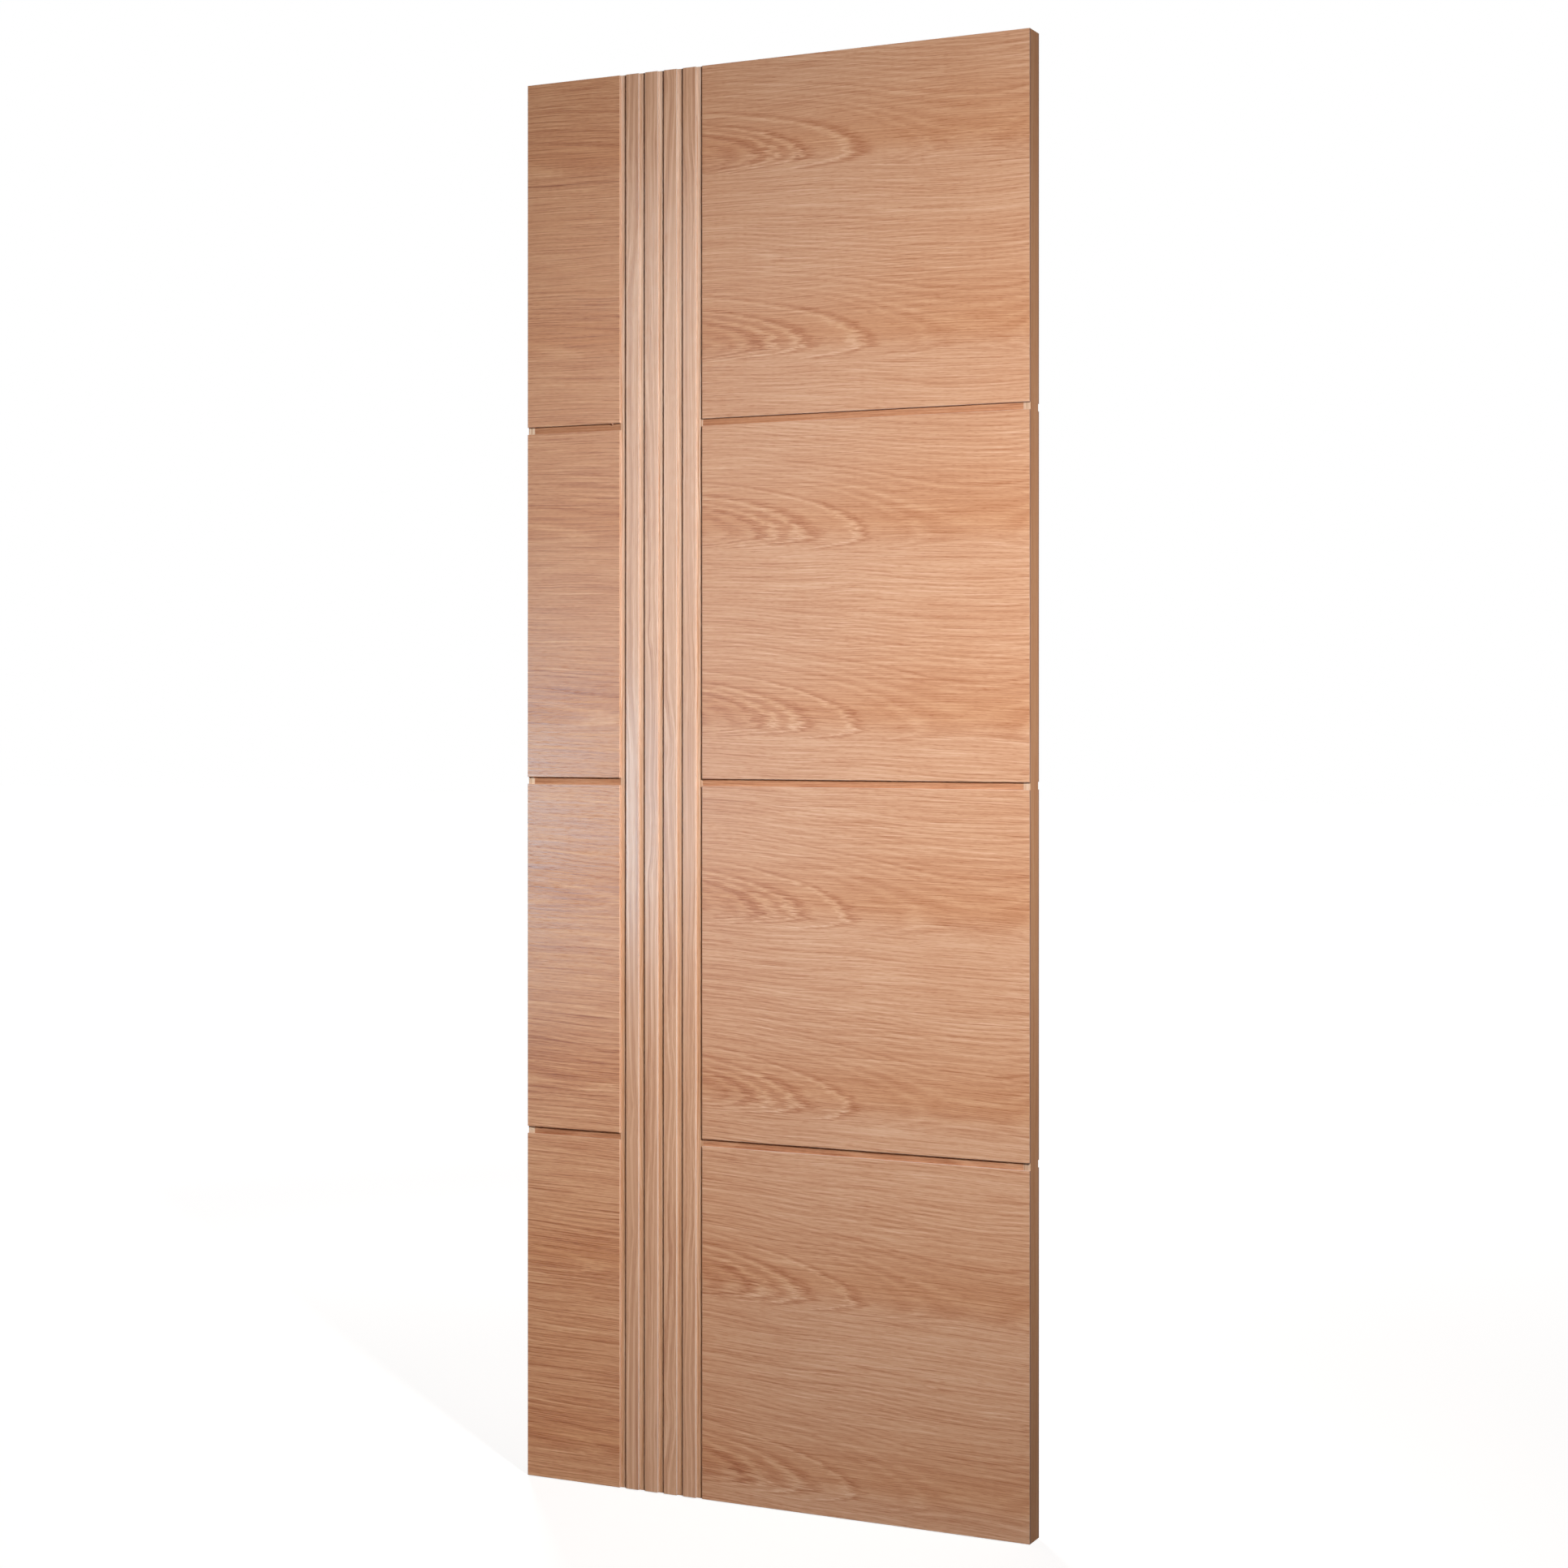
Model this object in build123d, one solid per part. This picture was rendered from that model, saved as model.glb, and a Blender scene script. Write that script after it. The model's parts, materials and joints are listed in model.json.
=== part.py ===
from build123d import *
import os

# Reeded flush door leaf, in millimetres.
# The origin is on the hinge edge at its foot, mid-thickness. +X runs across the leaf to
# the lock edge, the front faces -Y and +Z is up.

# Leaf
leaf_width = 762.0
leaf_height = 1981.0
leaf_thickness = 35.0

# Frame inside the leaf
lipping_width = 10.0
rail_height = 100.0

# Facings, and the grooves left open between their rows
facing_thickness = 3.5
row_count = 4
row_groove = 10.0
arris_radius = 0.5

# Reeded band: flat reeds with a groove on each side
hinge_panel_width = 150.0
reed_count = 4
reed_width = 20.0
reed_groove = 10.0

# Places that follow from those sizes
ground_thickness = leaf_thickness - 2 * facing_thickness
band_width = reed_count * (reed_width + reed_groove) + reed_groove
band_start = hinge_panel_width
band_end = band_start + band_width
lock_panel_width = leaf_width - band_end
lock_lipping_start = leaf_width - lipping_width
row_height = (leaf_height - (row_count - 1) * row_groove) / row_count
row_pitch = row_height + row_groove
reed_pitch = reed_width + reed_groove
core_height = leaf_height - 2 * rail_height


def ground_piece(x_start, x_end, z_start, height):
    # A squared timber of the leaf's ground, as thick as the leaf without its facings.
    across = (x_start + x_end) / 2
    section = Pos(across, 0) * Rectangle(x_end - x_start, ground_thickness)
    return Pos(0, 0, z_start) * extrude(section, height)


def facing_piece(x_start, width, z_start, height, outward):
    # A facing glued to one side of the ground, with its outer arrises eased.
    seat = Plane(
        origin=(x_start + width / 2, outward * ground_thickness / 2, z_start + height / 2),
        x_dir=(1, 0, 0),
        z_dir=(0, outward, 0),
    )
    blank = extrude(seat * Rectangle(width, height), facing_thickness)
    outer_face = blank.faces().sort_by(Axis.Y)[0 if outward < 0 else -1]
    return fillet(outer_face.edges(), arris_radius)


def ground_frame():
    # Solid edge lippings and the reed stile run the full height. Rails close the top and
    # bottom between them, and the core fills the two bays.
    pieces = {
        "hinge_edge_lipping": ground_piece(0, lipping_width, 0, leaf_height),
        "reed_stile": ground_piece(band_start, band_end, 0, leaf_height),
        "lock_edge_lipping": ground_piece(lock_lipping_start, leaf_width, 0, leaf_height),
    }
    bays = {
        "hinge_side": (lipping_width, band_start),
        "lock_side": (band_end, lock_lipping_start),
    }
    top_rail_start = leaf_height - rail_height
    for bay, (x_start, x_end) in bays.items():
        pieces[f"{bay}_bottom_rail"] = ground_piece(x_start, x_end, 0, rail_height)
        pieces[f"{bay}_core"] = ground_piece(x_start, x_end, rail_height, core_height)
        pieces[f"{bay}_top_rail"] = ground_piece(x_start, x_end, top_rail_start, rail_height)
    return pieces


def face_panels(side, outward):
    # Two columns of panels, in rows from the foot up. They cover the lippings out to the
    # leaf's edges, and each gap between two rows is a groove down to the ground.
    columns = {
        "hinge_panel": (0, hinge_panel_width),
        "lock_panel": (band_end, lock_panel_width),
    }
    pieces = {}
    for column, (x_start, width) in columns.items():
        for row in range(row_count):
            name = f"{side}_{column}_{row + 1}"
            z_start = row * row_pitch
            pieces[name] = facing_piece(x_start, width, z_start, row_height, outward)
    return pieces


def face_reeds(side, outward):
    # Full-height flat reeds on the reed stile, level with the panels.
    pieces = {}
    for reed in range(reed_count):
        x_start = band_start + reed_groove + reed * reed_pitch
        name = f"{side}_reed_{reed + 1}"
        pieces[name] = facing_piece(x_start, reed_width, 0, leaf_height, outward)
    return pieces


leaf = ground_frame()
for side, outward in (("front", -1), ("back", 1)):
    leaf.update(face_panels(side, outward))
    leaf.update(face_reeds(side, outward))

os.makedirs("parts", exist_ok=True)
for node, piece in leaf.items():
    piece.label = node
    export_step(piece, f"parts/{node}.step")
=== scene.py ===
import json
import math
import bpy
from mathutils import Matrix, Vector


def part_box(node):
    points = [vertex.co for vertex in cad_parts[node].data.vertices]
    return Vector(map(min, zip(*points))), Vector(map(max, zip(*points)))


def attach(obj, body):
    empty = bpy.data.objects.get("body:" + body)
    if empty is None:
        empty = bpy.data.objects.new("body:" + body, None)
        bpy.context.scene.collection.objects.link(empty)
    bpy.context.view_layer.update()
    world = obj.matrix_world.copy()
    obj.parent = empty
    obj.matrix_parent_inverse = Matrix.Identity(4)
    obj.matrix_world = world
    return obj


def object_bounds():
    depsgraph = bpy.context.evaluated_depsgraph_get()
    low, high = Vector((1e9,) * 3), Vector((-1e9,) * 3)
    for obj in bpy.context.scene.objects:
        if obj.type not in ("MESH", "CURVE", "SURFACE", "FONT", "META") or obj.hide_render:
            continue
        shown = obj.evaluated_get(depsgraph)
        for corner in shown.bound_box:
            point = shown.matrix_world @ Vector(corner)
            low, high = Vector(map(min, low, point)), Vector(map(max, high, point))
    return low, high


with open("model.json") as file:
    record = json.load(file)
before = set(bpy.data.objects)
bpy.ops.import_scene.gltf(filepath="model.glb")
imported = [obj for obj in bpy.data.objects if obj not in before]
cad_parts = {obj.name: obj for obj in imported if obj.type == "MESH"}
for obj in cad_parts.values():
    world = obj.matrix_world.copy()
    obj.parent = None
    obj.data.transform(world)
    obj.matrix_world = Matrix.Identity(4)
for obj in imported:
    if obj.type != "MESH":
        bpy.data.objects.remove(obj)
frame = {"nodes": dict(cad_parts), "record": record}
cadLow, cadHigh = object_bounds()  # the leaf's box before anything is dressed
pieces = frame["nodes"]
print("leaf loaded,", len(pieces), "pieces")

mm = 0.001
leafWide = cadHigh.x / mm
leafTall = cadHigh.z / mm
white = (1.0, 1.0, 1.0, 1.0)


class Wires:  # short hand for wiring one shader tree
    def __init__(self, tree):
        self.tree = tree

    def feed(self, socket, value):
        if isinstance(value, bpy.types.NodeSocket):
            self.tree.links.new(value, socket)
        else:
            socket.default_value = value

    def math(self, operation, *values):
        node = self.tree.nodes.new("ShaderNodeMath")
        node.operation = operation
        for socket, value in zip(node.inputs, values):
            self.feed(socket, value)
        return node.outputs[0]

    def noise(self, x, y, z, detail, roughness=0.5):  # about -0.3 to 0.3, centred on zero
        place = self.tree.nodes.new("ShaderNodeCombineXYZ")
        for socket, value in zip(place.inputs, (x, y, z)):
            self.feed(socket, value)
        node = self.tree.nodes.new("ShaderNodeTexNoise")
        node.inputs["Scale"].default_value = 1.0
        node.inputs["Detail"].default_value = detail
        node.inputs["Roughness"].default_value = roughness
        self.feed(node.inputs["Vector"], place.outputs[0])
        return self.math("SUBTRACT", node.outputs["Fac"], 0.5)

    def chance(self, value):  # one steady random number from 0 to 1 for each whole number
        node = self.tree.nodes.new("ShaderNodeTexWhiteNoise")
        node.noise_dimensions = "1D"
        self.feed(node.inputs["W"], value)
        return node.outputs["Value"]

    def ease(self, value, start, end):  # 0 at start, 1 at end
        node = self.tree.nodes.new("ShaderNodeMapRange")
        node.interpolation_type = "SMOOTHSTEP"
        for name, given in (("Value", value), ("From Min", start), ("From Max", end)):
            self.feed(node.inputs[name], given)
        return node.outputs["Result"]

    def mix(self, blend, share, first, second):
        node = self.tree.nodes.new("ShaderNodeMix")
        node.data_type = "RGBA"
        node.blend_type = blend
        self.feed(node.inputs["Factor"], share)
        self.feed(node.inputs["A"], first)
        self.feed(node.inputs["B"], second)
        return node.outputs["Result"]

    def tones(self, value, stops):
        node = self.tree.nodes.new("ShaderNodeValToRGB")
        ramp = node.color_ramp
        while len(ramp.elements) < len(stops):
            ramp.elements.new(1.0)
        for element, (place, colour) in zip(ramp.elements, stops):
            element.position = place
            element.color = srgb(colour)
        self.feed(node.inputs["Fac"], value)
        return node.outputs["Color"]


def srgb(colour):  # a colour as a paint chart gives it, 0 to 255, to the renderer's own scale
    linear = []
    for part in colour:
        part = part / 255
        linear.append(part / 12.92 if part <= 0.04045 else ((part + 0.055) / 1.055) ** 2.4)
    return (*linear, 1.0)


# Oak figure: rings round a pith under the cut, seen as flames in the middle and as lines beside them
oakGrain = {  # a noise is given by mm along the grain, mm across it, its finer layers and their strength
    "boardSeed": 31.7,
    "slow": (300.0, 110.0, 1.0),  # the grain wanders slowly
    "quick": (90.0, 26.0, 2.0),  # ripples a little
    "tremor": (20.0, 5.0, 0.0),  # and trembles
    "tremorSway": 0.7,  # mm
    "flameEnd": 4.0,  # the higher, the sooner a flame ends beside its middle
    "swell": (75.0, 7.0, 1.0),  # what frays the ring lines, from broad to fine
    "tuft": (40.0, 1.9, 1.0, 0.6),
    "stroke": (48.0, 1.3),
    "wisp": (12.0, 0.9, 0.0),
    "strokeShift": 7.0,  # stroke lengths that a row may be moved by
    "strokeSeeds": (3.17, 7.31),
    "frayShow": {"tuft": 0.7, "swell": 0.6, "wisp": 0.5, "stroke": 0.25},
    "farFray": 0.2,  # share of the fray that is left far from the crest
    "plainFray": 0.1,  # and outside the flames
    "crestShow": 0.4,  # rings lie widest and faintest at the crest
    "plainShow": 0.4,  # and are fainter outside the flames
    "unevenReach": (34.0, 1.0),  # mm over which rings turn wider and narrower, and finer layers
    "unevenRings": 4.2,
    "darkStart": ((0.0, 0.2), (0.7, 0.25)),  # where in a ring its soft dark start comes and goes
    "brightEnd": ((0.55, 0.8), (1.0, 0.86)),  # and its thin bright end
    "brightShow": 0.9,
    "streaks": ((1.0, 1.0, 1.0), (0.4, 0.6, 0.9), (0.06, 0.5, 0.5)),  # length, width, strength of each
    "thread": (1.5, 1.7),  # hair-thin lines that run on and on, in streak lengths and widths
    "threadEdge": (0.05, 0.0),
    "threadStretch": (0.3, 2.5),  # stretches where they are stronger
    "threadFade": (-0.15, 0.2),
    "paleThreadSeed": 3.1,
    "darkThreadSeed": 8.3,
    "darkThreadShow": 0.8,
    "pore": (11.0, 0.7, 0.0),  # open pores
    "poreEarly": 0.10,  # thickest where a ring starts
    "poreEdge": (0.13, 0.25),
    "drift": (420.0, 24.0, 2.0),  # broad bands of tone
}
figureInputs = (
    "Along", "Across", "Board",  # where on which board
    "Ring Width", "Pith Depth", "Crest", "Flame Rise", "Flame Reach", "Far Hurry", "Flame Line",
    "Squeeze", "Wander", "Ripple", "Ragged", "Streak Length", "Streak Width",
)
figureOutputs = ("Rings", "Streaks", "Threads", "Pores", "Drift", "Flame")


def makeOakFigure(look):
    tree = bpy.data.node_groups.new("oakFigure", "ShaderNodeTree")
    for name in figureInputs:
        tree.interface.new_socket(name, in_out="INPUT", socket_type="NodeSocketFloat")
    for name in figureOutputs:
        tree.interface.new_socket(name, in_out="OUTPUT", socket_type="NodeSocketFloat")
    wires = Wires(tree)
    given = tree.nodes.new("NodeGroupInput").outputs
    result = tree.nodes.new("NodeGroupOutput").inputs
    along, across, board = given["Along"], given["Across"], given["Board"]
    own = wires.math("MULTIPLY", board, look["boardSeed"])  # fine detail is each board's own

    def grainNoise(name, row, seed):
        length, width, *layers = look[name]
        place = wires.math("DIVIDE", along, length)
        return wires.noise(place, wires.math("DIVIDE", row, width), seed, *layers)

    # how far a point lies from the flame's middle line, along grain that wanders
    slow = grainNoise("slow", across, board)
    quick = grainNoise("quick", across, board)
    offLine = wires.math("SUBTRACT", across, given["Flame Line"])
    offLine = wires.math("MULTIPLY_ADD", slow, given["Wander"], offLine)
    offLine = wires.math("MULTIPLY_ADD", quick, given["Ripple"], offLine)
    tremor = grainNoise("tremor", offLine, board)
    grain = wires.math("MULTIPLY_ADD", tremor, look["tremorSway"], offLine)
    farSide = wires.math("MAXIMUM", offLine, 0.0)
    offLine = wires.math("MULTIPLY_ADD", farSide, given["Squeeze"], offLine)

    # how far the cut lies from the pith: most at the crest, levelling off far from it
    reach = wires.math("DIVIDE", wires.math("SUBTRACT", along, given["Crest"]), given["Flame Reach"])
    reach = wires.math("MULTIPLY_ADD", wires.math("MAXIMUM", reach, 0.0), given["Far Hurry"], reach)
    bow = wires.math("MULTIPLY", reach, reach)
    fall = wires.math("DIVIDE", bow, wires.math("ADD", bow, 1.0))
    depth = wires.math("SUBTRACT", given["Pith Depth"], wires.math("MULTIPLY", fall, given["Flame Rise"]))
    radius = wires.math("ADD", wires.math("MULTIPLY", offLine, offLine), wires.math("MULTIPLY", depth, depth))
    radius = wires.math("SQRT", radius)
    flame = wires.math("DIVIDE", depth, radius)  # 1 where the cut meets rings flat
    flame = wires.math("POWER", flame, look["flameEnd"])
    wires.feed(result["Flame"], flame)

    # random strokes, one row of them for each fibre
    strokeLength, rowWidth = look["stroke"]
    strokeSeed, rowSeed = look["strokeSeeds"]
    fibreRow = wires.math("FLOOR", wires.math("DIVIDE", grain, rowWidth))
    stroke = wires.math("DIVIDE", along, strokeLength)
    stroke = wires.math("MULTIPLY_ADD", wires.chance(fibreRow), look["strokeShift"], stroke)
    stroke = wires.math("MULTIPLY", wires.math("FLOOR", stroke), strokeSeed)
    stroke = wires.chance(wires.math("MULTIPLY_ADD", fibreRow, rowSeed, stroke))

    # fibres fray the ring lines, most where an arc turns back at a flame's tip
    strands = {name: grainNoise(name, grain, own) for name in ("tuft", "swell", "wisp")}
    strands["stroke"] = wires.math("SUBTRACT", stroke, 0.5)
    fray = 0.0
    for name, show in look["frayShow"].items():
        fray = wires.math("MULTIPLY_ADD", strands[name], show, fray)
    lean = wires.math("MULTIPLY", fall, wires.math("SUBTRACT", 1.0, fall))
    lean = wires.math("MULTIPLY", lean, 4.0)  # 1 where the cut is steepest to the rings
    crossing = wires.math("MULTIPLY_ADD", lean, 1 - look["crestShow"], look["crestShow"])
    turning = wires.math("MULTIPLY", crossing, wires.math("MULTIPLY_ADD", fall, look["farFray"] - 1, 1.0))
    tip = wires.math("MULTIPLY", wires.math("MULTIPLY", flame, flame), turning)
    tip = wires.math("MULTIPLY_ADD", tip, 1 - look["plainFray"], look["plainFray"])
    radius = wires.math("MULTIPLY_ADD", wires.math("MULTIPLY", fray, tip), given["Ragged"], radius)

    # rings, whose dark starts and bright ends are each of their own strength
    reachAcross, layers = look["unevenReach"]
    uneven = wires.noise(wires.math("DIVIDE", radius, reachAcross), board, 0.0, layers)
    count = wires.math("DIVIDE", radius, given["Ring Width"])
    count = wires.math("MULTIPLY_ADD", uneven, look["unevenRings"], count)
    ring = wires.math("FLOOR", count)
    phase = wires.math("FRACT", count)

    def ringPart(name, seed):
        comes, goes = look[name]
        shape = wires.math("MULTIPLY", wires.ease(phase, *comes), wires.ease(phase, *goes))
        return wires.math("MULTIPLY", shape, wires.chance(seed))

    darkStart = ringPart("darkStart", ring)
    brightEnd = ringPart("brightEnd", wires.math("ADD", ring, 0.5))  # another draw than the dark start's
    shown = wires.math("MULTIPLY", flame, crossing)
    shown = wires.math("MULTIPLY_ADD", shown, 1 - look["plainShow"], look["plainShow"])
    ringTone = wires.math("SUBTRACT", wires.math("MULTIPLY", brightEnd, look["brightShow"]), darkStart)
    wires.feed(result["Rings"], wires.math("MULTIPLY", ringTone, shown))

    # fibres: long soft lines, finer ones and short dashes
    def fibres(longer, wider, seed):
        place = wires.math("DIVIDE", along, wires.math("MULTIPLY", given["Streak Length"], longer))
        row = wires.math("DIVIDE", grain, wires.math("MULTIPLY", given["Streak Width"], wider))
        return wires.noise(place, row, wires.math("ADD", own, seed), 0.0)

    streaks = 0.0
    for longer, wider, strength in look["streaks"]:
        streaks = wires.math("MULTIPLY_ADD", fibres(longer, wider, 0.0), strength, streaks)
    wires.feed(result["Streaks"], streaks)

    def threads(seed):
        line = wires.ease(wires.math("ABSOLUTE", fibres(*look["thread"], seed)), *look["threadEdge"])
        stretch = wires.ease(fibres(*look["threadStretch"], seed), *look["threadFade"])
        return wires.math("MULTIPLY", line, stretch)

    paleThreads = threads(look["paleThreadSeed"])
    darkThreads = threads(look["darkThreadSeed"])
    lines = wires.math("MULTIPLY_ADD", darkThreads, -look["darkThreadShow"], paleThreads)
    wires.feed(result["Threads"], lines)

    prick = grainNoise("pore", grain, own)
    prick = wires.math("MULTIPLY_ADD", darkStart, look["poreEarly"], prick)
    wires.feed(result["Pores"], wires.ease(prick, *look["poreEdge"]))
    wires.feed(result["Drift"], grainNoise("drift", radius, board))
    return tree


oakFigure = makeOakFigure(oakGrain)
print("oak figure wired")


def startOak(name):
    finish = bpy.data.materials.new(name)
    finish.use_nodes = True
    wires = Wires(finish.node_tree)
    shader = finish.node_tree.nodes["Principled BSDF"]
    coords = finish.node_tree.nodes.new("ShaderNodeTexCoord")
    scaled = finish.node_tree.nodes.new("ShaderNodeVectorMath")
    scaled.operation = "SCALE"
    scaled.inputs["Scale"].default_value = 1 / mm
    wires.feed(scaled.inputs[0], coords.outputs["Object"])
    axes = finish.node_tree.nodes.new("ShaderNodeSeparateXYZ")
    wires.feed(axes.inputs[0], scaled.outputs[0])
    return finish, wires, shader, axes.outputs


def layFigure(wires, along, across, board, figure):
    group = wires.tree.nodes.new("ShaderNodeGroup")
    group.node_tree = oakFigure
    for name, value in (("Along", along), ("Across", across), ("Board", board)):
        wires.feed(group.inputs[name], value)
    for name, value in figure.items():
        group.inputs[name].default_value = value
    return group.outputs


def onBack(wires, y, look):  # 0 at the front, and at the back a step to other boards
    return wires.math("MULTIPLY", wires.math("GREATER_THAN", y, 0.0), look["backBoard"])


def onFlank(wires, look):  # 1 on the sides and eased arrises of a facing, 0 on its flat faces
    surface = wires.tree.nodes.new("ShaderNodeNewGeometry")
    axes = wires.tree.nodes.new("ShaderNodeSeparateXYZ")
    wires.feed(axes.inputs[0], surface.outputs["True Normal"])
    return wires.ease(wires.math("ABSOLUTE", axes.outputs["Y"]), *look["flankTurn"])


def onLongEdge(wires, x, look):  # 1 on the leaf's two long edge faces, where the painted shade goes
    inward, outward = look["edgeBand"]
    hinge = wires.ease(x, inward, outward)
    lock = wires.ease(x, leafWide - inward, leafWide - outward)
    return wires.math("MAXIMUM", hinge, lock)


def finishOak(wires, shader, look, grain, tint=None):
    tone = 0.5  # the middle of the tones
    for name, show in look["shows"].items():
        tone = wires.math("MULTIPLY_ADD", grain[name], show, tone)
    colour = wires.tones(tone, look["tones"])
    rough = look["rough"]
    for name, show in look["roughened"].items():
        rough = wires.math("MULTIPLY_ADD", grain[name], show, rough)
    if "flankPaleAndHighlightTone" in look:
        flank = onFlank(wires, look)
        # paler sawn sides and rubbed arrises; on the arrises this is partly a painted highlight
        paleAndHighlit = wires.math("MULTIPLY", flank, look["flankShow"])
        colour = wires.mix("MIX", paleAndHighlit, colour, srgb(look["flankPaleAndHighlightTone"]))
        rough = wires.math("MULTIPLY_ADD", flank, look["flankRough"], rough)
    if tint is not None:
        colour = tint(colour)
    wires.feed(shader.inputs["Base Color"], colour)
    wires.feed(shader.inputs["Roughness"], rough)
    shader.inputs["Specular IOR Level"].default_value = look["gloss"]
    ridges = wires.math("MULTIPLY", grain["Streaks"], 0.5)  # streaks count half as much as pores
    bump = wires.tree.nodes.new("ShaderNodeBump")
    bump.inputs["Strength"].default_value = look["bump"]
    bump.inputs["Distance"].default_value = look["bumpDepth"] * mm
    wires.feed(bump.inputs["Height"], wires.math("SUBTRACT", ridges, grain["Pores"]))
    wires.feed(shader.inputs["Normal"], bump.outputs["Normal"])


# Face veneer: leaves of one flitch laid one above another, so the same flame comes again in each leaf
faceVeneer = {
    "leafPitch": 258.0,  # mm, depth of one leaf
    "leafTop": 113.0,  # mm of the highest leaf trimmed off at the top edge
    "grainFall": 0.025,  # the grain drops this much per mm towards the lock edge
    "leafChange": 0.16,  # how unlike the next leaf is
    "backBoard": 40.0,  # the back is laid from another flitch
    "jointWidth": 1.0,  # mm of the dark line where two leaves meet
    "jointFade": (300.0, 160.0),  # mm from the hinge edge: the line shows only on that side
    "jointDown": 290.0,  # and only where the first two leaves meet
    "heartTone": (255, 238, 216),  # the hinge side comes from nearer the heart and is redder
    "heartFade": (480.0, 60.0),
    "heartLines": 0.6,  # and its lines are stronger by this share
    "flameTone": (246, 233, 217),  # the flames are redder too
    "flameFade": 42.0,  # mm over which a flame's redness thins out at the joint below it
    "figure": {
        "Ring Width": 5.4, "Pith Depth": 120.0, "Crest": 690.0, "Flame Rise": 74.0, "Flame Reach": 330.0,
        "Far Hurry": 0.25, "Flame Line": 240.0, "Squeeze": 1.6, "Wander": 17.0, "Ripple": 1.9,
        "Ragged": 9.5, "Streak Length": 170.0, "Streak Width": 1.6,
    },
    "tones": (
        (0.0, (151, 89, 55)),
        (0.25, (182, 124, 88)),
        (0.50, (208, 160, 127)),
        (0.75, (227, 189, 160)),
        (1.0, (243, 215, 193)),
    ),
    "shows": {  # how much each lightens the wood
        "Streaks": 0.33, "Threads": 0.13, "Rings": 0.23, "Drift": 0.12, "Pores": -0.12, "Flame": -0.02,
        "Joint": -0.5,
    },
    "rough": 0.31, "roughened": {"Pores": 0.12, "Streaks": 0.10}, "gloss": 0.42,
    "bump": 0.05, "bumpDepth": 0.2,
    "flankPaleAndHighlightTone": (213, 189, 178), "flankShow": 0.8, "flankRough": 0.69,  # paler sawn sides and rubbed arrises, and on the arrises partly a painted highlight
    "flankTurn": (0.995, 0.95),  # how squarely a flat face looks out of the leaf, and an arris
    "edgeShadeTone": (149, 133, 123),  # painted shade: the leaf's long edge faces are darkened and browner
    "edgeBand": (0.45, 0.1),  # mm in from the leaf's edge faces
}


def makeFaceVeneer(look):
    finish, wires, shader, place = startOak("faceVeneer")
    x, y, z = place["X"], place["Y"], place["Z"]
    down = wires.math("SUBTRACT", leafTall + look["leafTop"], z)
    down = wires.math("MULTIPLY_ADD", x, -look["grainFall"], down)
    leaf = wires.math("FLOOR", wires.math("DIVIDE", down, look["leafPitch"]))
    across = wires.math("MULTIPLY_ADD", leaf, -look["leafPitch"], down)
    board = wires.math("MULTIPLY_ADD", leaf, look["leafChange"], onBack(wires, y, look))
    figure = layFigure(wires, x, across, board, look["figure"])
    grain = {name: figure[name] for name in figureOutputs}

    heart = wires.ease(x, *look["heartFade"])
    stronger = wires.math("MULTIPLY_ADD", heart, look["heartLines"], 1.0)
    for name in ("Streaks", "Threads"):
        grain[name] = wires.math("MULTIPLY", grain[name], stronger)

    toNext = wires.math("SUBTRACT", look["leafPitch"], across)
    joint = wires.ease(wires.math("MINIMUM", across, toNext), look["jointWidth"], 0.0)
    joint = wires.math("MULTIPLY", joint, wires.ease(x, *look["jointFade"]))
    grain["Joint"] = wires.math("MULTIPLY", joint, wires.math("LESS_THAN", down, look["jointDown"]))
    red = wires.math("MULTIPLY", wires.ease(toNext, 0.0, look["flameFade"]), grain["Flame"])

    def tint(colour):
        colour = wires.mix("MULTIPLY", heart, colour, srgb(look["heartTone"]))
        colour = wires.mix("MULTIPLY", red, colour, srgb(look["flameTone"]))
        # painted shade on the leaf's long edge faces
        return wires.mix("MULTIPLY", onLongEdge(wires, x, look), colour, srgb(look["edgeShadeTone"]))

    finishOak(wires, shader, look, grain, tint)
    return finish


# Reeds: upright oak strips, paler than the veneer, each from its own board
reedOak = {
    "boardStep": 410.0,  # mm that each reed's figure is moved along its board
    "boardShift": 60.0,  # mm, the range of its moves across
    "backBoard": 17.0,
    "crestTurn": 900.0,  # mm after which the figure runs back
    "wave": (700.0, 900.0),  # mm along which the figure is drawn out or crowded, and by how much
    "figure": {
        "Ring Width": 4.2, "Pith Depth": 46.0, "Crest": 900.0, "Flame Rise": 12.0, "Flame Reach": 500.0,
        "Wander": 26.0, "Ripple": 7.0, "Ragged": 3.0, "Streak Length": 260.0, "Streak Width": 2.2,
    },
    "tones": (
        (0.0, (164, 101, 62)),
        (0.25, (189, 132, 94)),
        (0.50, (209, 157, 119)),
        (0.75, (226, 181, 147)),
        (1.0, (240, 204, 175)),
    ),
    "shows": {"Streaks": 0.34, "Threads": 0.12, "Rings": 0.32, "Drift": 0.25, "Pores": -0.10},
    "rough": 0.2, "roughened": {"Pores": 0.12, "Streaks": 0.1}, "gloss": 0.65,
    "bump": 0.08, "bumpDepth": 0.2,
    # paler sawn sides and rubbed arrises, and on the arrises partly a painted highlight
    "flankPaleAndHighlightTone": (209, 190, 177), "flankShow": 0.8, "flankRough": 0.8,
    "flankTurn": (0.995, 0.95),
}


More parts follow.
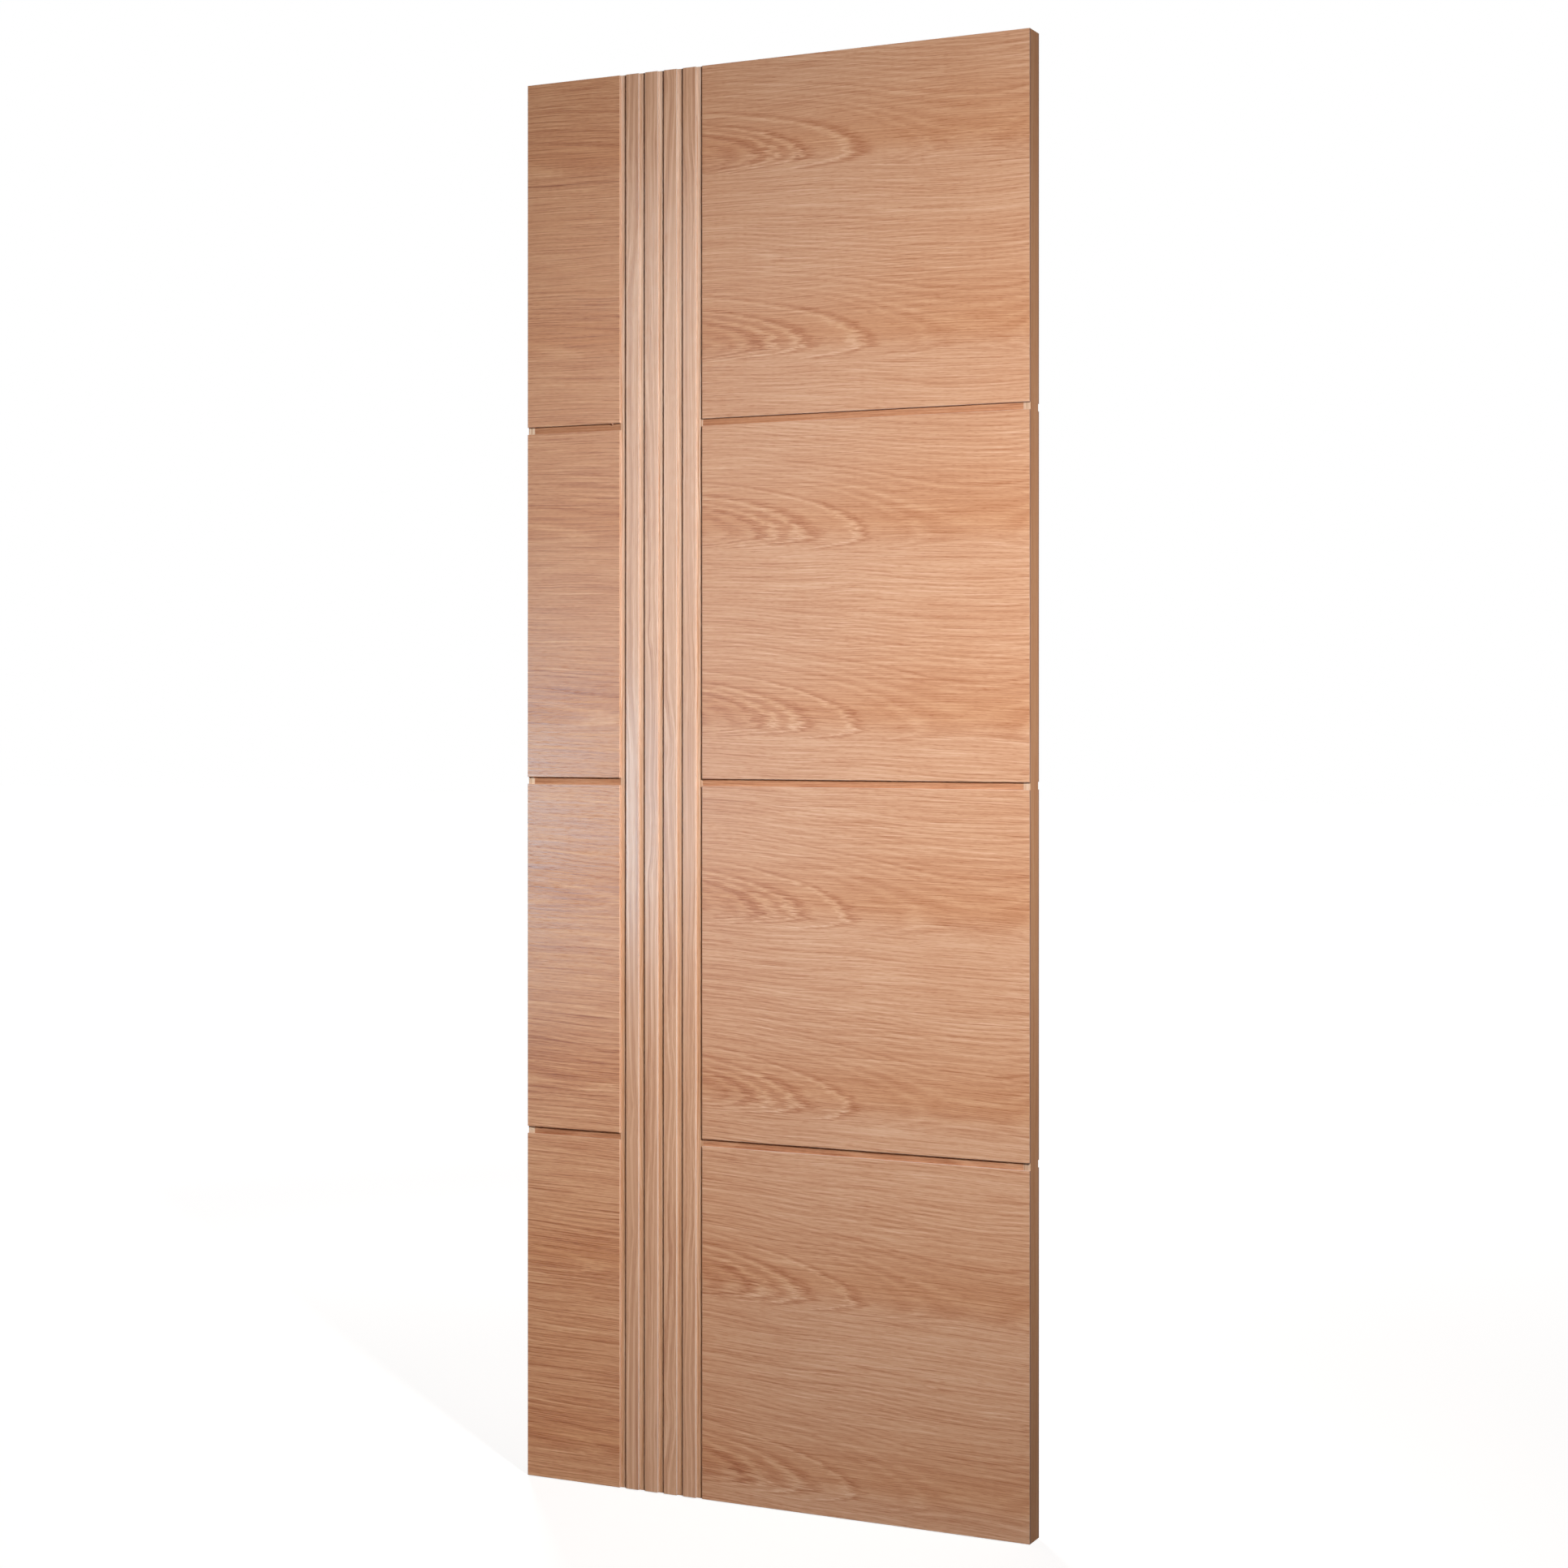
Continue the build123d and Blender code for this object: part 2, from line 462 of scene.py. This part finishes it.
def makeReedOak(look):
    finish, wires, shader, place = startOak("reedOak")
    x, y, z = place["X"], place["Y"], place["Z"]
    firstLow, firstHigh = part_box("front_reed_1")
    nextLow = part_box("front_reed_2")[0]
    pitch = (nextLow.x - firstLow.x) / mm
    middle = (firstLow.x + firstHigh.x) / 2 / mm
    reed = wires.math("ROUND", wires.math("DIVIDE", wires.math("SUBTRACT", x, middle), pitch))
    board = wires.math("ADD", reed, onBack(wires, y, look))
    board = wires.math("ADD", board, 1.0)  # the first reed is number 1
    along = wires.math("MULTIPLY_ADD", board, look["boardStep"], z)
    offMiddle = wires.math("SUBTRACT", wires.math("MULTIPLY_ADD", reed, -pitch, x), middle)
    shift = wires.math("MULTIPLY_ADD", wires.chance(board), look["boardShift"], look["boardShift"] / -2)
    across = wires.math("ADD", offMiddle, shift)
    waveLength, waveRun = look["wave"]
    wave = wires.noise(wires.math("DIVIDE", along, waveLength), board, 0.0, 1.0)
    wave = wires.math("MULTIPLY", wave, waveRun)
    crestRun = wires.math("ADD", wires.math("PINGPONG", along, look["crestTurn"]), wave)
    grain = layFigure(wires, crestRun, across, board, look["figure"])
    finishOak(wires, shader, look, grain)
    return finish


# Reed stile: pale straight-grained oak, seen as the floors of the upright grooves
stileOak = {
    "backBoard": 9.0,
    "footTone": (233, 217, 200),  # the foot of the stile is redder than its head
    "footFade": (1400.0, 700.0),  # mm above the floor
    "figure": {
        "Ring Width": 3.1, "Pith Depth": 150.0, "Crest": 900.0, "Flame Rise": 6.0, "Flame Reach": 700.0,
        "Flame Line": 90.0, "Wander": 16.0, "Ripple": 4.0, "Ragged": 2.0,
        "Streak Length": 260.0, "Streak Width": 2.0,
    },
    "tones": (
        (0.0, (182, 129, 95)),
        (0.25, (212, 168, 137)),
        (0.50, (233, 198, 173)),
        (0.75, (247, 220, 200)),
        (1.0, (253, 238, 222)),
    ),
    "shows": {"Streaks": 0.5, "Threads": 0.16, "Rings": 0.3, "Drift": 0.3, "Pores": -0.08},
    "rough": 0.6, "roughened": {"Pores": 0.14, "Streaks": 0.1}, "gloss": 0.0,
    "bump": 0.25, "bumpDepth": 0.25,
}


def makeStileOak(look):
    finish, wires, shader, place = startOak("stileOak")
    board = onBack(wires, place["Y"], look)
    grain = layFigure(wires, place["Z"], place["X"], board, look["figure"])
    foot = wires.ease(place["Z"], *look["footFade"])

    def tint(colour):
        return wires.mix("MULTIPLY", foot, colour, srgb(look["footTone"]))

    finishOak(wires, shader, look, grain, tint)
    return finish


# Core: reddish timber with level grain, seen as the floors of the level grooves
coreTimber = {
    "backBoard": 5.0,
    "boardSpan": (300.0, 700.0),  # mm of the figure that comes again in each board of the core
    "figure": {
        "Ring Width": 3.6, "Pith Depth": 70.0, "Crest": 420.0, "Flame Rise": 30.0, "Flame Reach": 300.0,
        "Flame Line": 500.0, "Wander": 10.0, "Ripple": 3.0, "Ragged": 3.0,
        "Streak Length": 130.0, "Streak Width": 2.0,
    },
    "tones": (
        (0.0, (134, 76, 50)),
        (0.25, (171, 115, 84)),
        (0.50, (196, 142, 108)),
        (0.75, (212, 164, 131)),
        (1.0, (230, 189, 160)),
    ),
    "shows": {"Streaks": 0.45, "Threads": 0.16, "Rings": 0.15, "Drift": 0.12, "Pores": -0.08},
    "rough": 0.6, "roughened": {"Pores": 0.14, "Streaks": 0.1}, "gloss": 0.0,
    "bump": 0.25, "bumpDepth": 0.25,
}


def makeCoreTimber(look):
    finish, wires, shader, place = startOak("coreTimber")
    start, end = look["boardSpan"]
    across = wires.math("WRAP", place["Z"], end, start)
    grain = layFigure(wires, place["X"], across, onBack(wires, place["Y"], look), look["figure"])
    finishOak(wires, shader, look, grain)
    return finish


# Edge lippings: solid oak with upright grain, with painted shade that makes the outer face browner than where
# a groove cuts it
lippingOak = {
    "board": 3.0,
    "cutSlope": 0.9,  # the rings cross the lipping on a slant
    "figure": {
        "Ring Width": 2.8, "Pith Depth": 120.0, "Crest": 700.0, "Flame Rise": 6.0, "Flame Reach": 700.0,
        "Flame Line": 60.0, "Wander": 12.0, "Ripple": 4.0, "Ragged": 2.0,
        "Streak Length": 260.0, "Streak Width": 1.9,
    },
    "tones": (
        (0.0, (182, 137, 105)),
        (0.30, (223, 187, 156)),
        (0.50, (242, 214, 187)),
        (0.72, (249, 227, 203)),
        (1.0, (253, 240, 224)),
    ),
    "shows": {"Streaks": 0.45, "Threads": 0.16, "Rings": 0.3, "Drift": 0.3, "Pores": -0.08},
    "rough": 0.65, "roughened": {"Pores": 0.12, "Streaks": 0.1}, "gloss": 0.06,
    "bump": 0.25, "bumpDepth": 0.25,
    "lockTone": (220, 212, 210),  # the lock-side lipping is browner in the grooves
    # painted shade on the lipping's outer edge faces
    "edgeShadeTone": (158, 133, 114),
    "edgeBand": (0.3, 0.05),  # mm in from the leaf's edge faces
}


def makeLippingOak(look):
    finish, wires, shader, place = startOak("lippingOak")
    x = place["X"]
    across = wires.math("MULTIPLY_ADD", x, look["cutSlope"], place["Y"])
    grain = layFigure(wires, place["Z"], across, look["board"], look["figure"])
    edge = onLongEdge(wires, x, look)
    lockFloor = wires.math("SUBTRACT", wires.math("GREATER_THAN", x, leafWide / 2), edge)

    def tint(colour):
        colour = wires.mix("MULTIPLY", lockFloor, colour, srgb(look["lockTone"]))
        # painted shade on the long edge faces
        return wires.mix("MULTIPLY", edge, colour, srgb(look["edgeShadeTone"]))

    finishOak(wires, shader, look, grain, tint)
    return finish


# Rails: planed timber, seen on the top and bottom edges
railTimber = {
    "board": 6.0,
    "cutSlope": 0.02,
    "figure": {
        "Ring Width": 4.0, "Pith Depth": 40.0, "Crest": 300.0, "Flame Rise": 10.0, "Flame Reach": 300.0,
        "Wander": 20.0, "Ripple": 6.0, "Ragged": 2.0, "Streak Length": 300.0, "Streak Width": 3.0,
    },
    "tones": (
        (0.0, (168, 116, 76)),
        (0.30, (204, 158, 114)),
        (0.50, (218, 178, 136)),
        (0.72, (228, 194, 156)),
        (1.0, (240, 214, 182)),
    ),
    "shows": {"Streaks": 0.4, "Threads": 0.16, "Rings": 0.3, "Drift": 0.3, "Pores": -0.06},
    "rough": 0.62, "roughened": {"Pores": 0.12, "Streaks": 0.1}, "gloss": 0.2,
    "bump": 0.25, "bumpDepth": 0.25,
}


def makeRailTimber(look):
    finish, wires, shader, place = startOak("railTimber")
    across = wires.math("MULTIPLY_ADD", place["Z"], look["cutSlope"], place["Y"])
    grain = layFigure(wires, place["X"], across, look["board"], look["figure"])
    finishOak(wires, shader, look, grain)
    return finish


finishes = {
    "face_veneer": makeFaceVeneer(faceVeneer),
    "reed_oak": makeReedOak(reedOak),
    "stile_oak": makeStileOak(stileOak),
    "core_timber": makeCoreTimber(coreTimber),
    "lipping_oak": makeLippingOak(lippingOak),
    "rail_timber": makeRailTimber(railTimber),
}
for part in frame["record"]["subparts"]:
    mesh = pieces[part["node"]].data
    mesh.materials.clear()
    mesh.materials.append(finishes[part["material_slot"]])


# Splinter: a sliver lifted from the bottom arris of the top hinge-side panel, close to the reeds
splinter = {
    "panel": "front_hinge_panel_4",
    "across": (135.0, 138.2, 139.4),  # mm from the hinge edge to its left end, its tip and its right end
    "drop": 2.0,  # mm that the tip hangs into the groove
    "root": 0.6,  # mm that it is still bedded in the panel
    "behind": 0.3,  # mm behind the panel's face
    "thick": 1.4,
}


def makeSplinter(look, finish):
    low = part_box(look["panel"])[0]
    left, tip, right = [x * mm for x in look["across"]]
    top = low.z + look["root"] * mm
    foot = low.z - look["drop"] * mm
    corners = []
    for y in (low.y + look["behind"] * mm, low.y + (look["behind"] + look["thick"]) * mm):
        corners += [(left, y, top), (right, y, top), (tip, y, foot)]
    mesh = bpy.data.meshes.new("panelSplinter")
    mesh.from_pydata(corners, [], [(0, 2, 1), (3, 4, 5), (0, 3, 5, 2), (2, 5, 4, 1), (0, 1, 4, 3)])
    mesh.materials.append(finish)
    sliver = bpy.data.objects.new("panelSplinter", mesh)
    bpy.context.scene.collection.objects.link(sliver)
    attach(sliver, "root")


makeSplinter(splinter, finishes["face_veneer"])
print("splinter set in its panel")


# Studio: white all round for the camera, and five lamps
studio = {  # lengths are in metres
    "floorReach": 30.0,
    "floorDrop": 0.001,
    "floorTone": 0.30,
    "floorRough": 0.9,
    "floorGlow": (0.80, 1.0),  # near the leaf, where its shadow lies, and far off
    "glowMiddle": (0.38, 0.0),
    "glowReach": (0.9, 3.2),  # from there
    "ambient": 0.035,
    "ambientTone": (1.0, 0.5, 0.25, 1.0),  # what little light reaches the grooves has bounced off wood
    "lamps": {
        "key": {  # on the upper right
            "at": (2.5, -2.0, 2.2), "aim": (0.2, 0.0, 0.8), "wide": 0.22, "tall": 0.22,
            "watts": 22.3, "spread": 76.0, "tint": (1.0, 0.97, 0.94),
        },
        "edgeFill": {  # on the right, for the lock edge
            "at": (2.2, -0.3, 1.1), "aim": (0.762, 0.0, 1.1), "wide": 0.5, "tall": 0.5,
            "watts": 2.3, "spread": 80.0, "tint": (1.0, 0.98, 0.96),
        },
        "tallSoftBox": {  # on the left, for the sheen of the reeds
            "at": (-1.2, -2.65, 1.83), "aim": (0.2, 0.0, 1.45), "wide": 0.34, "tall": 1.06,
            "watts": 7.0, "spread": 180.0, "tint": (0.82, 0.88, 0.9), "sheenOnly": True,
        },
        "leftSoftBox": {  # further left, for the sheen of the hinge side
            "at": (-1.76, -2.65, 0.84), "aim": (0.2, 0.0, 0.95), "wide": 0.7, "tall": 0.6,
            "watts": 29.5, "spread": 180.0, "tint": (0.52, 0.82, 1.0), "sheenOnly": True,
        },
        "backLight": {  # behind, for the other face
            "at": (-1.9, 3.0, 2.6), "aim": (0.4, 0.0, 0.8), "wide": 0.8, "tall": 0.8,
            "watts": 34.0, "spread": 80.0, "tint": (1.0, 0.98, 0.96),
        },
    },
}


def whiteForCamera(wires):  # 1 for what the camera sees, also in a reflection or through glass
    path = wires.tree.nodes.new("ShaderNodeLightPath")
    seen = wires.math("MAXIMUM", path.outputs["Is Camera Ray"], path.outputs["Is Glossy Ray"])
    return wires.math("MAXIMUM", seen, path.outputs["Is Transmission Ray"])


def makeWorld(look):
    world = bpy.data.worlds.new("studioWorld")
    world.use_nodes = True
    bpy.context.scene.world = world
    wires = Wires(world.node_tree)
    background = world.node_tree.nodes["Background"]
    seen = whiteForCamera(wires)
    wires.feed(background.inputs["Color"], wires.mix("MIX", seen, look["ambientTone"], white))
    strength = wires.math("MULTIPLY_ADD", seen, 1 - look["ambient"], look["ambient"])
    wires.feed(background.inputs["Strength"], strength)


def makeFloor(look):
    reach = look["floorReach"]
    corners = [(-reach, -reach), (reach, -reach), (reach, reach), (-reach, reach)]
    mesh = bpy.data.meshes.new("studioFloor")
    mesh.from_pydata([(x, y, cadLow.z - look["floorDrop"]) for x, y in corners], [], [(0, 1, 2, 3)])
    floor = bpy.data.objects.new("studioFloor", mesh)
    bpy.context.scene.collection.objects.link(floor)
    paper = bpy.data.materials.new("studioPaper")
    paper.use_nodes = True
    wires = Wires(paper.node_tree)
    shader = paper.node_tree.nodes["Principled BSDF"]
    shader.inputs["Base Color"].default_value = (*[look["floorTone"]] * 3, 1.0)
    shader.inputs["Roughness"].default_value = look["floorRough"]
    shader.inputs["Specular IOR Level"].default_value = 0.0
    shader.inputs["Emission Color"].default_value = white
    coords = paper.node_tree.nodes.new("ShaderNodeTexCoord")
    away = paper.node_tree.nodes.new("ShaderNodeVectorMath")
    away.operation = "DISTANCE"
    wires.feed(away.inputs[0], coords.outputs["Object"])
    away.inputs[1].default_value = (*look["glowMiddle"], cadLow.z)
    near, far = look["floorGlow"]
    faded = wires.ease(away.outputs["Value"], *look["glowReach"])
    glow = wires.math("MULTIPLY_ADD", faded, far - near, near)
    glow = wires.math("MULTIPLY", whiteForCamera(wires), glow)
    wires.feed(shader.inputs["Emission Strength"], glow)
    mesh.materials.append(paper)


def makeLamps(look):
    for name, lamp in look["lamps"].items():
        light = bpy.data.lights.new(name, "AREA")
        light.shape = "RECTANGLE"
        light.size = lamp["wide"]
        light.size_y = lamp["tall"]
        light.energy = lamp["watts"]
        light.spread = math.radians(lamp["spread"])
        light.color = lamp["tint"]
        holder = bpy.data.objects.new(name, light)
        holder.visible_camera = False
        holder.visible_diffuse = not lamp.get("sheenOnly", False)
        holder.location = lamp["at"]
        aim = Vector(lamp["aim"]) - holder.location
        holder.rotation_euler = aim.to_track_quat("-Z", "Y").to_euler()
        bpy.context.scene.collection.objects.link(holder)


makeWorld(studio)
makeFloor(studio)
makeLamps(studio)
print("studio lit by", len(studio["lamps"]), "lamps")


# Camera: level, to the right of the leaf, with the film shifted so that uprights stay upright
camera = {
    "at": (2.0284, -3.3861, 1.0815),
    "turn": 25.719,  # degrees to the left of straight at the face
    "lens": 63.02,  # mm, and so is the film
    "film": 36.0,
    "shiftUp": -0.04301,  # share of the film
}


def makeCamera(look):
    data = bpy.data.cameras.new("photoCamera")
    data.lens = look["lens"]
    data.sensor_width = look["film"]
    data.shift_y = look["shiftUp"]
    holder = bpy.data.objects.new("photoCamera", data)
    holder.location = look["at"]
    holder.rotation_euler = (math.radians(90), 0, math.radians(look["turn"]))
    bpy.context.scene.collection.objects.link(holder)
    bpy.context.scene.camera = holder


makeCamera(camera)
bpy.context.scene.view_settings.view_transform = "Standard"
print("camera set")
